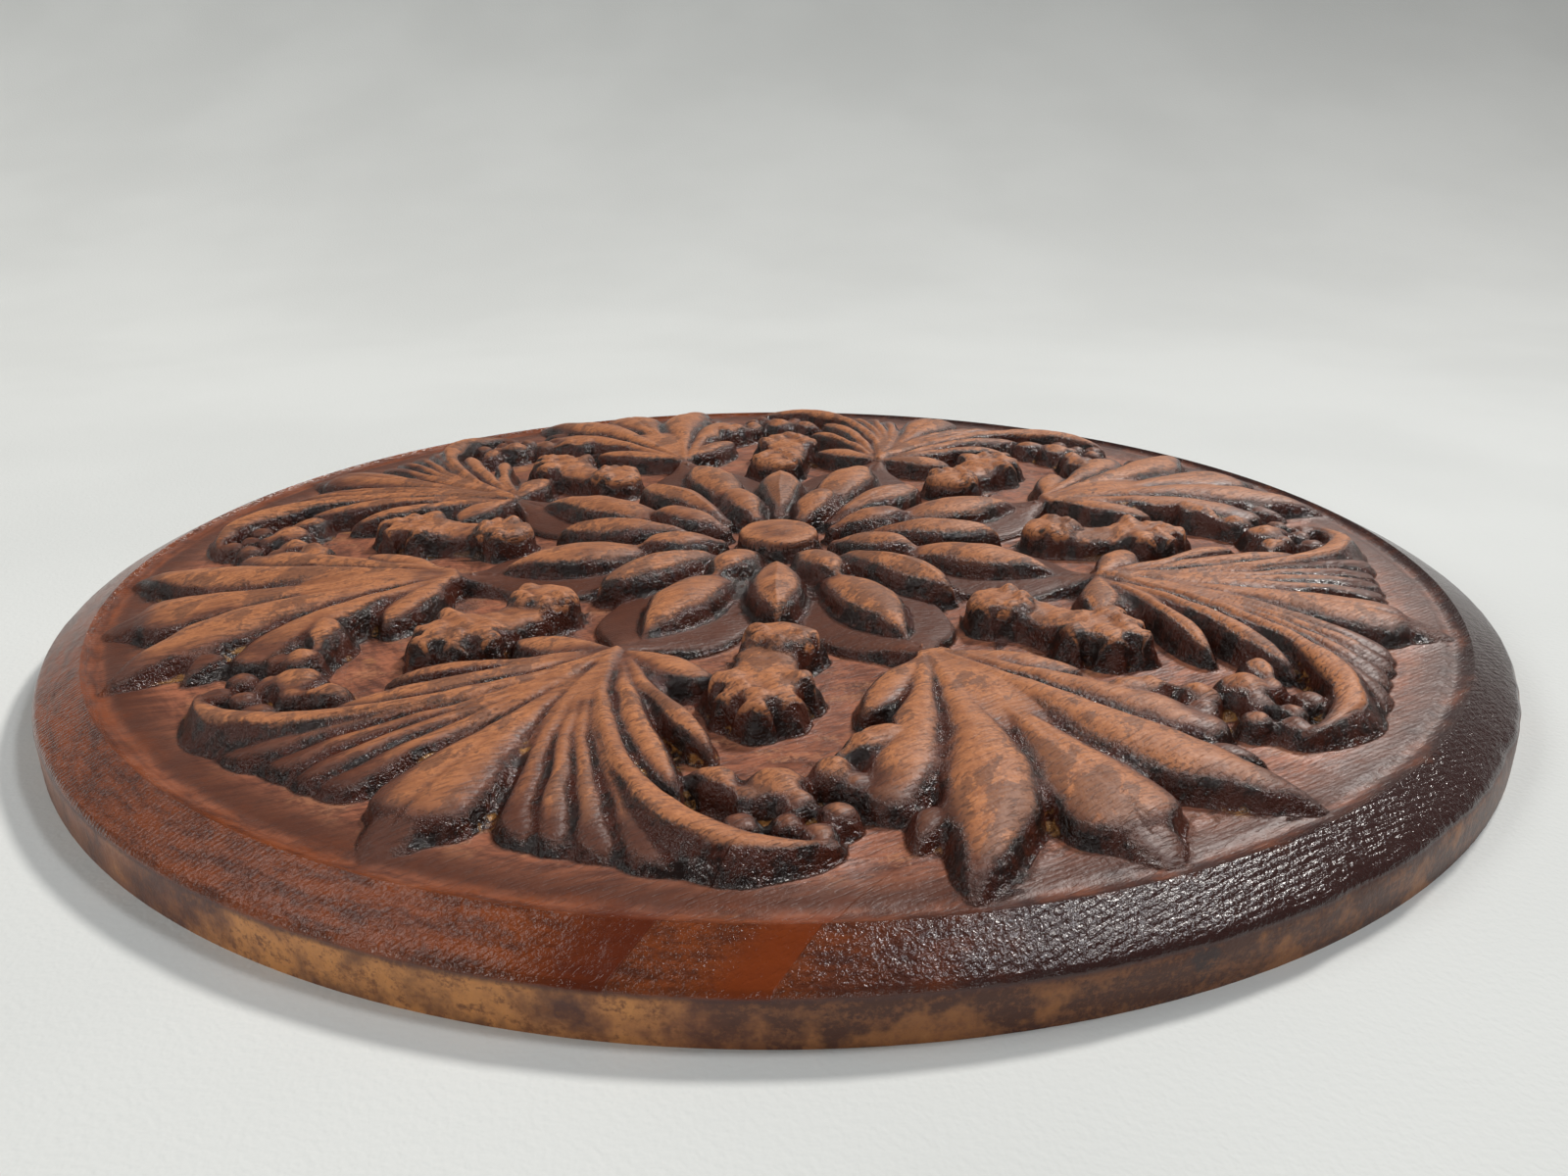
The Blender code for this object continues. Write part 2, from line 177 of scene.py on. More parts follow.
def berry(form, x, y, centre, size, height, rise=0.85):
    """Raises a round berry, whose foot stands straight, on the form."""
    radius = size * RADIUS
    share = np.hypot(x - centre[0], y - centre[1]) / radius
    near = share < 1
    ball = np.sqrt(1 - share[near] ** 2)
    form[near] = np.maximum(form[near], height - rise * radius * (1 - ball))


# The plain leaf
# A centre lobe like a spearhead, two long side lobes and two blunt ones, each with a barb, and two
# small fingers on either side of the stalk.

def plain_leaf(form, x, y):
    web = [(0.487, 0, 0.010), (0.55, 0, 0.036), (0.62, 0, 0.066), (0.68, 0, 0.094), (0.73, 0, 0.104),
           (0.78, 0, 0.080)]
    parts = [
        ((0.80, 1.02, 0.10), 0.22, 0.0, 0, web),
        ((0.88, 1.00, 0.10), 0.42, 0.0003, 9, [
            (0.487, 0, 0.010), (0.60, 0, 0.014), (0.68, 0, 0.022), (0.74, 0, 0.038), (0.80, 0, 0.054),
            (0.85, 0, 0.060), (0.872, 0, 0.053), (0.886, 0, 0.035), (0.910, 0, 0.024), (0.935, 0, 0.002)]),
        ((0.88, 1.18, 0.12), 0.44, 0.0, 0, [
            (0.487, 0.4, 0.010), (0.58, 2.9, 0.020), (0.66, 4.6, 0.031), (0.72, 5.5, 0.042),
            (0.78, 6.9, 0.050), (0.83, 8.5, 0.043), (0.875, 10.0, 0.030), (0.905, 11.1, 0.016),
            (0.930, 12.0, 0.002)]),
        ((0.88, 1.14, 0.75), 0.45, 0.0, 0, [
            (0.487, 1.5, 0.010), (0.58, 6.0, 0.020), (0.64, 8.5, 0.028), (0.70, 11.0, 0.036),
            (0.735, 12.4, 0.039), (0.766, 13.8, 0.031)]),
        ((0.35, 0.62, 0.30), 0.50, 0.0, 0, [
            (0.790, 10.6, 0.014), (0.815, 11.8, 0.021), (0.846, 13.4, 0.004)]),
        ((0.80, 0.88, 0.65), 0.50, 0.0, 0, [
            (0.487, 1.5, 0.008), (0.53, 3.2, 0.011), (0.57, 4.8, 0.012), (0.61, 7.6, 0.012),
            (0.635, 9.0, 0.005)]),
        ((0.80, 0.98, 0.70), 0.46, 0.0, 0, [
            (0.487, 1.0, 0.008), (0.515, 4.0, 0.018), (0.540, 6.8, 0.027), (0.566, 9.3, 0.030),
            (0.590, 11.3, 0.025), (0.605, 12.8, 0.010)]),
    ]
    for shape, crown, crease, veins, rows in parts:
        heights = tuple(LEAF_HEIGHT * h for h in shape)
        rows = [(radius, WEDGE - off, wide) for radius, off, wide in rows]
        tongue(form, x, y, rows, heights, crown, crease, veins)


# The curled leaf
# One spearhead lobe between two scrolls. Each scroll is fluted like a shell, its crest hooks
# inwards over the outer bunch, and four fingers lie inside it.

CREST = [(0.485, 0.0, 0.009), (0.575, 3.2, 0.012), (0.640, 6.0, 0.015), (0.705, 9.0, 0.018),
         (0.760, 11.8, 0.022), (0.802, 14.2, 0.025), (0.838, 17.0, 0.029), (0.857, 19.8, 0.029),
         (0.862, 22.3, 0.024), (0.856, 24.6, 0.015), (0.843, 26.9, 0.003)]
FAN_EDGE = [(0.485, 0.0), (0.575, 3.2), (0.640, 6.0), (0.705, 9.0), (0.760, 11.8), (0.800, 13.6),
            (0.840, 15.2), (0.890, 17.0)]
FLUTES = [0.20, 0.33, 0.52, 0.70, 0.86, 1.08]
FLUTE_CREST = 0.25


def curled_leaf(form, x, y):
    parts = [
        ((0.85, 0.95, 0.10), 0.42, 0.0005, 9, [
            (0.485, 0, 0.008), (0.60, 0, 0.014), (0.68, 0, 0.026), (0.74, 0, 0.041), (0.79, 0, 0.052),
            (0.835, 0, 0.057), (0.862, 0, 0.050), (0.874, 0, 0.034), (0.900, 0, 0.024), (0.932, 0, 0.002)]),
        ((0.85, 1.12, 0.50), 0.46, 0.0, 0, [
            (0.520, 2.8, 0.008), (0.585, 6.5, 0.016), (0.645, 9.6, 0.022), (0.700, 12.5, 0.023),
            (0.745, 14.9, 0.016), (0.777, 16.2, 0.003)]),
        ((0.60, 1.05, 0.50), 0.50, 0.0, 0, [
            (0.505, 3.0, 0.006), (0.560, 7.6, 0.011), (0.600, 11.0, 0.015), (0.636, 14.2, 0.019),
            (0.662, 16.0, 0.016), (0.686, 17.3, 0.004)]),
        ((0.80, 0.98, 0.55), 0.50, 0.0, 0, [
            (0.490, 2.0, 0.008), (0.538, 5.6, 0.014), (0.574, 8.6, 0.017), (0.592, 10.9, 0.014),
            (0.602, 12.8, 0.004)]),
        ((0.82, 0.98, 0.66), 0.46, 0.0, 0, [
            (0.485, 1.0, 0.010), (0.494, 5.0, 0.022), (0.508, 9.0, 0.031), (0.516, 12.4, 0.025),
            (0.517, 15.0, 0.009)]),
        ((0.80, 0.74, 0.20), 0.40, 0.0, 0, [
            (0.490, 1.0, 0.010), (0.530, 5.0, 0.030), (0.570, 7.6, 0.034), (0.605, 9.6, 0.022)]),
    ]
    for shape, crown, crease, veins, rows in parts:
        heights = tuple(LEAF_HEIGHT * h for h in shape)
        tongue(form, x, y, rows, heights, crown, crease, veins)
    scroll(form, x, y)


def scroll(form, x, y):
    """The rolled side of the leaf: shingled flutes that fan from the stalk, and the hooked crest."""
    reach = np.hypot(x, y) / RADIUS
    angle = np.degrees(np.arctan2(y, x))
    edge_reach, edge_angle = np.array(FAN_EDGE).T
    fan = angle / np.maximum(np.interp(reach, edge_reach, edge_angle), 0.2)
    flutes = np.array(FLUTES)
    index = np.clip(np.searchsorted(flutes, fan) - 1, 0, len(FLUTES) - 2)
    part = np.clip((fan - flutes[index]) / (flutes[index + 1] - flutes[index]), 0, 1)
    falling = 1 - (np.maximum(part - FLUTE_CREST, 0) / (1 - FLUTE_CREST)) ** 2.5
    shingle = np.where(part < FLUTE_CREST, np.sin(np.pi / 2 * part / FLUTE_CREST), falling)
    depth = 0.34 * np.clip((reach - 0.55) / 0.22, 0, 1)
    foot = 0.868 + 0.020 * np.clip((angle - 12) / 6, 0, 1) - 0.05 * np.clip((8 - angle) / 4, 0, 1) ** 2
    foot = foot - 0.007 * (1 - shingle)
    shoulder = np.clip((foot - reach) / 0.15, 0, 1)
    top = LEAF_HEIGHT * (0.06 + 0.94 * np.sqrt(shoulder * (2 - shoulder))) * (1 - depth * (1 - shingle))
    first = 0.20 + 0.10 * np.clip((reach - 0.66) / 0.14, 0, 1)
    start = np.clip((fan - first) / 0.06, 0, 1)
    outside = np.clip((foot - reach) * RADIUS / SIDE_RUN, 0, 1)
    inside = (fan > first) & (fan < 1.08) & (reach > edge_reach[0]) & (reach < edge_reach[-1])
    form[inside] = np.maximum(form[inside], (top * outside * (0.45 + 0.55 * start))[inside])
    heights = (LEAF_HEIGHT * 0.92, LEAF_HEIGHT * 1.14, LEAF_HEIGHT * 0.55)
    tongue(form, x, y, CREST, heights, crown=0.22, bevel=0.75)


# The grapes
# An inner bunch hangs from under the rosette in two tiers. An outer bunch fills the hook of the
# scroll, and a chain of berries ties it to the plain leaf.

def grapes(form, x, y):
    bunch = np.zeros(x.shape)
    inner = [
        ((0.425, 23.4), 0.047, 1.02, 0.019, [(0.408, 17.6), (0.450, 19.0), (0.470, 22.6),
                                             (0.463, 26.6), (0.428, 30.2)]),
        ((0.550, 21.3), 0.050, 0.98, 0.023, [(0.548, 15.2), (0.594, 17.0), (0.624, 20.6),
                                             (0.602, 24.8), (0.545, 27.6)]),
    ]
    for centre, size, height, knob, tips in inner:
        berry(bunch, x, y, at(*centre), size, GRAPE_HEIGHT * height, 0.28)
        for i, tip in enumerate(tips):
            lift = 1.0 - 0.07 * (i % 2)
            middle = tuple(0.45 * a + 0.55 * b for a, b in zip(centre, tip))
            end = tuple(0.08 * a + 0.92 * b for a, b in zip(centre, tip))
            rows = [(*middle, 0.6 * knob), (*end, knob), (*tip, 0.5 * knob)]
            heights = (GRAPE_HEIGHT * height, GRAPE_HEIGHT * 0.98 * lift, GRAPE_HEIGHT * 0.55)
            tongue(bunch, x, y, rows, heights, crown=0.6)
            berry(bunch, x, y, at(*(0.42 * a + 0.58 * b for a, b in zip(centre, tip))), 0.8 * knob,
                  GRAPE_HEIGHT * (height + 0.08 * lift), 0.6)
    neck = [(0.450, 22.0, 0.040), (0.480, 21.6, 0.040), (0.510, 21.4, 0.046)]
    tongue(bunch, x, y, neck, (GRAPE_HEIGHT * 0.85, GRAPE_HEIGHT * 0.80, GRAPE_HEIGHT * 0.85), crown=0.3)
    outer = [
        (0.752, 23.0, 0.037, 0.84), (0.768, 21.2, 0.022, 0.66), (0.776, 24.4, 0.022, 0.66),
        (0.727, 27.4, 0.026, 0.80), (0.744, 28.8, 0.020, 0.62), (0.812, 20.7, 0.020, 0.58),
        (0.810, 23.7, 0.019, 0.56), (0.829, 25.7, 0.021, 0.56), (0.796, 27.2, 0.020, 0.60),
    ]
    for radius, angle, size, height in outer:
        berry(bunch, x, y, at(radius, angle), size, GRAPE_HEIGHT * height)
    links = [
        ((0.50, 0.78, 0.55), [(0.735, 16.6, 0.012), (0.742, 18.6, 0.026), (0.765, 20.4, 0.014)]),
        ((0.75, 0.98, 0.80), [(0.702, 28.6, 0.016), (0.684, 31.3, 0.032), (0.664, 34.4, 0.018)]),
    ]
    for shape, rows in links:
        tongue(bunch, x, y, rows, tuple(GRAPE_HEIGHT * h for h in shape), crown=0.7)
    np.maximum(form, bunch * (1 + 0.045 * uneven(x, y, 0.0042, 4)), out=form)


# The rosette
# A flat button inside a ring of small petals, eight pointed petals and eight longer ones under
# them, over a low star whose points meet the leaf stalks.

def rosette(form, x, y):
    half = WEDGE / 2
    for axis in (0.0, WEDGE):
        star = [(0.20, axis, 0.10), (0.33, axis, 0.10), (0.40, axis, 0.082), (0.445, axis, 0.04),
                (0.49, axis, 0.01)]
        heights = (UNDERLEAF_HEIGHT * 1.4, UNDERLEAF_HEIGHT * 1.3, LEAF_HEIGHT * 0.80)
        tongue(form, x, y, star, heights, crown=0.45, crease=0.0003)
        petal = [(0.185, axis, 0.028), (0.235, axis, 0.037), (0.285, axis, 0.045), (0.335, axis, 0.043),
                 (0.385, axis, 0.026), (0.425, axis, 0.003)]
        heights = (PETAL_HEIGHT * 0.40, PETAL_HEIGHT * 1.02, PETAL_HEIGHT * 0.50)
        tongue(form, x, y, petal, heights, crown=0.38)
        small = [(0.098, axis, 0.018), (0.130, axis, 0.034), (0.165, axis, 0.038),
                 (0.195, axis, 0.030), (0.216, axis, 0.012)]
        heights = (PETAL_HEIGHT * 0.60, PETAL_HEIGHT * 1.04, PETAL_HEIGHT * 0.80)
        tongue(form, x, y, small, heights, crown=0.45)
    for axis in (-half, half, WEDGE + half):
        petal = [(0.125, axis, 0.016), (0.170, axis, 0.028), (0.220, axis, 0.039), (0.270, axis, 0.041),
                 (0.312, axis, 0.026), (0.342, axis, 0.003)]
        heights = (PETAL_HEIGHT * 0.45, PETAL_HEIGHT * 1.06, PETAL_HEIGHT * 0.50)
        tongue(form, x, y, petal, heights, crown=0.44, crease=-0.0004)
    berry(form, x, y, at(0, 0), 0.062, BUTTON_HEIGHT, 0.18)


# The cutter
# A ball-ended cutter carved the wedge, so no hollow is tighter than its nose. The same pass gives
# each place its depth in the hollows, its nearness to an edge and its steepness, for the stain and
# the painted shade.

CELL = 0.00028
CUTTER_NOSE = 0.0007


def wedge_map():
    """The carved heights over one wedge and a margin round it, as a square-celled map."""
    margin = 0.006
    across = np.arange(-margin, RADIUS + margin, CELL)
    up = np.arange(-margin, RADIUS * 0.72 + margin, CELL)
    x, y = np.meshgrid(across, up, indexing="ij")
    radius = np.hypot(x, y)
    angle = np.abs(np.degrees(np.arctan2(y, x)))
    angle = np.abs(np.where(angle > WEDGE, 2 * WEDGE - angle, angle))
    fold_x, fold_y = radius * np.cos(np.radians(angle)), radius * np.sin(np.radians(angle))
    hand = np.clip(fold_y, 0, 0.01) * np.clip(radius * np.radians(WEDGE - angle), 0, 0.01) / 0.0001
    bent_x = fold_x + 0.0003 * hand * uneven(fold_x, fold_y, 0.013, 1)
    bent_y = fold_y + 0.0003 * hand * uneven(fold_x, fold_y, 0.013, 2)
    form = np.zeros(x.shape)
    for carve in (plain_leaf, curled_leaf, grapes, rosette):
        carve(form, bent_x, bent_y)
    form = form * (1 + 0.016 * uneven(fold_x, fold_y, 0.009, 3))
    rest = board_level(radius)
    carved = np.maximum(rest, np.where(form > 0, FIELD_LEVEL + form, 0))
    return margin, np.where(radius < GROOVE_RADIUS, carved, rest)


def rolled(field, nose, sign):
    """The field with a ball of the cutter's size rolled over it, above it or below it."""
    steps = int(nose / CELL)
    out = np.full(field.shape, -1e9)
    for i in range(-steps, steps + 1):
        for j in range(-steps, steps + 1):
            drop = nose ** 2 - (i * CELL) ** 2 - (j * CELL) ** 2
            if drop >= 0:
                shifted = np.roll(np.roll(sign * field, i, axis=0), j, axis=1)
                out = np.maximum(out, shifted + np.sqrt(drop) - nose)
    return sign * out


def softened(field, width):
    """The field averaged over a square of the given width, twice."""
    steps = max(int(width / CELL / 2), 1)
    for turn in range(2):
        for axis in (0, 1):
            total = np.zeros(field.shape)
            for i in range(-steps, steps + 1):
                total += np.roll(field, i, axis=axis)
            field = total / (2 * steps + 1)
    return field


margin, carved = wedge_map()
carved = rolled(rolled(carved, CUTTER_NOSE, 1), CUTTER_NOSE, -1)
carved = 0.5 * carved + 0.5 * softened(carved, CELL * 2)
slope = np.hypot(*np.gradient(carved, CELL))
maps = {
    "height": carved,
    "hollow": softened(carved, 0.0050) - carved,
    "nook": softened(carved, 0.0016) - carved,
    "steep": softened(np.minimum(slope, 2.0), 0.0020),
}


def look_up(name, x, y):
    """The value of a map at places in the wedge, smoothed between its cells."""
    field = maps[name]
    i, j = (x + margin) / CELL, (y + margin) / CELL
    i0 = np.clip(i.astype(int), 0, field.shape[0] - 2)
    j0 = np.clip(j.astype(int), 0, field.shape[1] - 2)
    u, v = i - i0, j - j0
    near = field[i0, j0] * (1 - v) + field[i0, j0 + 1] * v
    far = field[i0 + 1, j0] * (1 - v) + field[i0 + 1, j0 + 1] * v
    return near * (1 - u) + far * u


def in_wedge(x, y):
    """Folds places on the whole board into the wedge."""
    radius = np.hypot(x, y)
    angle = np.mod(np.degrees(np.arctan2(y, x)) - CURL_AXIS, 2 * WEDGE)
    angle = np.radians(np.where(angle > WEDGE, 2 * WEDGE - angle, angle))
    return radius * np.cos(angle), radius * np.sin(angle)


# The whole front
# A quarter of the board is meshed: fine rings over the field, then the rings of the rim and the
# wall. Geometry Nodes turn it four times round the middle, knock the rim's corner about, as it is
# worn on the right, and the smooth parts are then thinned out.

RING_STEPS = 300
EDGE_RINGS = 32
SPOKES = 1200
QUARTERS = 4
TRIANGLES = 190000
KNOCKED = 314.0


class Wire:
    """A node socket that takes part in Python expressions."""

    def __init__(self, tree, socket=None):
        self.tree = tree
        self.socket = socket

    def make(self, kind, settings=None, sockets=None, output=0):
        """Adds a node: its settings first, then the values or links of its sockets."""
        node = self.tree.nodes.new(kind)
        for key, value in (settings or {}).items():
            setattr(node, key, value)
        for key, value in (sockets or {}).items():
            if isinstance(value, Wire):
                self.tree.links.new(value.socket, node.inputs[key])
            else:
                node.inputs[key].default_value = value
        return Wire(self.tree, node.outputs[output])

    def maths(self, operation, *others):
        """The result of one Math node, whose first input is this socket."""
        return self.make("ShaderNodeMath", {"operation": operation}, dict(enumerate((self, *others))))

    def __add__(self, other):
        return self.maths("ADD", other)

    def __mul__(self, other):
        return self.maths("MULTIPLY", other)

    def __sub__(self, other):
        return self.maths("SUBTRACT", other)

    def __rsub__(self, other):
        return self.maths("MULTIPLY_ADD", -1.0, other)

    __radd__ = __add__
    __rmul__ = __mul__

    def between(self, start, end):
        """0 at start and 1 at end, smoothly and clamped."""
        return self.make("ShaderNodeMapRange", {"interpolation_type": "SMOOTHSTEP"},
                         {"Value": self, "From Min": start, "From Max": end})

    def blend(self, base, over):
        """The base colour with the over colour laid on by this mask."""
        return self.make("ShaderNodeMix", {"data_type": "RGBA"}, {0: self, 6: base, 7: over}, output=2)


def quarter_mesh():
    """A quarter of the board, whose middle is the middle of a curled leaf."""
    field = np.linspace(0, GROOVE_RADIUS - GROOVE_WIDTH, RING_STEPS)
    rim = np.concatenate([
        np.linspace(GROOVE_RADIUS - GROOVE_WIDTH, LIP_RADIUS, 9)[1:],
        np.linspace(LIP_RADIUS, RADIUS - EDGE_EASE, 12)[1:],
        RADIUS - EDGE_EASE * (1 - np.sin(np.linspace(0, np.pi / 2, 7)[1:]))])
    radii = np.concatenate([field, rim])[1:]
    columns = SPOKES // QUARTERS + 1
    turn = radians(CURL_AXIS - WEDGE) + np.linspace(0, radians(2 * WEDGE), columns)
    grid_radius, grid_turn = np.meshgrid(radii, turn, indexing="ij")
    x, y = grid_radius * np.cos(grid_turn), grid_radius * np.sin(grid_turn)
    z = look_up("height", *in_wedge(x, y))
    z = np.where(grid_radius > GROOVE_RADIUS + GROOVE_WIDTH * 0.2, board_level(grid_radius), z)
    top = float(look_up("height", np.zeros(1), np.zeros(1))[0])
    points = [np.array([[0.0, 0.0, 0.0], [0.0, 0.0, top]]), np.stack([x, y, z], -1).reshape(-1, 3)]
    wall = np.linspace(board_level(np.float64(RADIUS)), 0.0, 8)[1:]
    for level in wall:
        points.append(np.stack([x[-1], y[-1], np.full(columns, level)], -1))
    points = np.concatenate(points)
    rings = len(radii) + len(wall)
    k = np.arange(columns - 1)
    faces = [(1, 2 + int(i), 3 + int(i)) for i in k]
    for ring in range(rings - 1):
        inner, outer = 2 + ring * columns + k, 2 + (ring + 1) * columns + k
        faces += np.stack([inner, outer, outer + 1, inner + 1], -1).tolist()
    last = len(points) - columns
    faces.append([0] + list(range(last + columns - 1, last - 1, -1)))
    mesh = bpy.data.meshes.new("quarter")
    mesh.from_pydata(points.tolist(), [], faces)
    mesh.update()
    return mesh


def whole_board_tree():
    """Turns a quarter round the middle, joins the copies and knocks the rim's corner about."""
    tree = bpy.data.node_groups.new("whole_board", "GeometryNodeTree")
    tree.interface.new_socket("Geometry", in_out="INPUT", socket_type="NodeSocketGeometry")
    kinds = {"Copies": "Int", "Knock Depth": "Float", "Knock Size": "Float", "Seed": "Float",
             "Material": "Material"}
    for name, kind in kinds.items():
        tree.interface.new_socket(name, in_out="INPUT", socket_type="NodeSocket" + kind)
    tree.interface.new_socket("Geometry", in_out="OUTPUT", socket_type="NodeSocketGeometry")
    w = Wire(tree)
    given = tree.nodes.new("NodeGroupInput")
    quarter, copies, depth, size, seed, material = (Wire(tree, socket) for socket in given.outputs[:6])

    # One point for each copy, all in the middle, each turned on by its share of the circle
    spots = w.make("GeometryNodeMeshLine", {"mode": "OFFSET"}, {"Count": copies, "Offset": (0, 0, 0)})
    share = w.make("GeometryNodeInputIndex").maths("DIVIDE", copies) * (2 * np.pi)
    turn = w.make("ShaderNodeCombineXYZ", None, {"Z": share})
    copied = {"Points": spots, "Instance": quarter, "Rotation": turn}
    turned = w.make("GeometryNodeInstanceOnPoints", None, copied)
    board = w.make("GeometryNodeRealizeInstances", None, {"Geometry": turned})
    board = w.make("GeometryNodeMergeByDistance", None, {"Geometry": board, "Distance": 0.000002})

    # Knocks push the rim's corner in and down, most of all on the right towards the front
    place = w.make("GeometryNodeInputPosition")
    x, y, z = (w.make("ShaderNodeSeparateXYZ", None, {"Vector": place}, output=i) for i in range(3))
    radius = (x * x + y * y).maths("SQRT")
    corner = radius.between(RADIUS - 0.0035, RADIUS - 0.0003)
    corner = corner * z.between(WALL_HEIGHT - 0.0045, WALL_HEIGHT)
    toward = (x * np.cos(radians(KNOCKED)) + y * np.sin(radians(KNOCKED))) * (1 / RADIUS)
    worn = toward.between(0.86, 1.0) * 0.85 + 0.15
    spread = {"X": x.maths("DIVIDE", size), "Y": y.maths("DIVIDE", size), "Z": seed}
    spot = w.make("ShaderNodeCombineXYZ", None, spread)
    knocks = w.make("ShaderNodeTexNoise", None, {"Vector": spot, "Scale": 1.0, "Detail": 2.0})
    push = corner * worn * knocks.between(0.35, 0.70) * depth
    inward = push * (-1 / RADIUS)
    offset = w.make("ShaderNodeCombineXYZ", None, {"X": x * inward, "Y": y * inward, "Z": push * -0.7})
    board = w.make("GeometryNodeSetPosition", None, {"Geometry": board, "Offset": offset})
    board = w.make("GeometryNodeSetMaterial", None, {"Geometry": board, "Material": material})
    tree.links.new(board.socket, tree.nodes.new("NodeGroupOutput").inputs["Geometry"])
    return tree


wood = bpy.data.materials.new("stained_wood")
fine = bpy.data.objects.new("fine_carving", quarter_mesh())
bpy.context.scene.collection.objects.link(fine)
turner = fine.modifiers.new("whole_board", "NODES")
turner.node_group = whole_board_tree()
inputs = {"Copies": QUARTERS, "Knock Depth": 0.0008, "Knock Size": 0.022, "Seed": 2.0, "Material": wood}
for item in turner.node_group.interface.items_tree:
    if item.in_out == "INPUT" and item.name in inputs:
        turner[item.identifier] = inputs[item.name]
thinner = fine.modifiers.new("thinner", "DECIMATE")
thinner.ratio = TRIANGLES / (2 * SPOKES * (RING_STEPS + EDGE_RINGS))
bpy.context.view_layer.update()
mesh = bpy.data.meshes.new_from_object(fine.evaluated_get(bpy.context.evaluated_depsgraph_get()))
bpy.data.objects.remove(fine)
mesh.name = "roundel"
roundel = bpy.data.objects.new("roundel", mesh)
bpy.context.scene.collection.objects.link(roundel)
mesh.shade_smooth()
mesh.set_sharp_from_angle(angle=radians(60))

count = len(mesh.vertices)
places = np.empty(count * 3)
mesh.vertices.foreach_get("co", places)
places = places.reshape(-1, 3)
fold_x, fold_y = in_wedge(places[:, 0], places[:, 1])
front = places[:, 2] > WALL_HEIGHT - EDGE_EASE
radius = np.hypot(places[:, 0], places[:, 1])
field = front & (radius < LIP_RADIUS)
marks = {
    "rise": np.clip((places[:, 2] - FIELD_LEVEL) / GRAPE_HEIGHT, 0, 1) * field,
    "hollow": look_up("hollow", fold_x, fold_y) / 0.002 * field,
    "nook": look_up("nook", fold_x, fold_y) / 0.0006 * field,
    "steep": np.clip(look_up("steep", fold_x, fold_y), 0, 2) * field,
}
for name, values in marks.items():
    layer = mesh.attributes.new(name, "FLOAT", "POINT")
    layer.data.foreach_set("value", values.astype(np.float32))

# The finish
# Dark red-brown stain was brushed on, wiped back from the high carving, and flooded with gloss
# varnish that pooled in the hollows. The low parts, hollows, nooks and steep sides of the carving are
# also darkened with painted shade. The cutter left a fine line every millimetre.

CUT_TURN = 30
CUT_STEP = 0.00107


def shade(red, green, blue):
    """A linear colour from one written in 0 to 255."""
    return tuple(((c / 255 + 0.055) / 1.055) ** 2.4 for c in (red, green, blue)) + (1.0,)


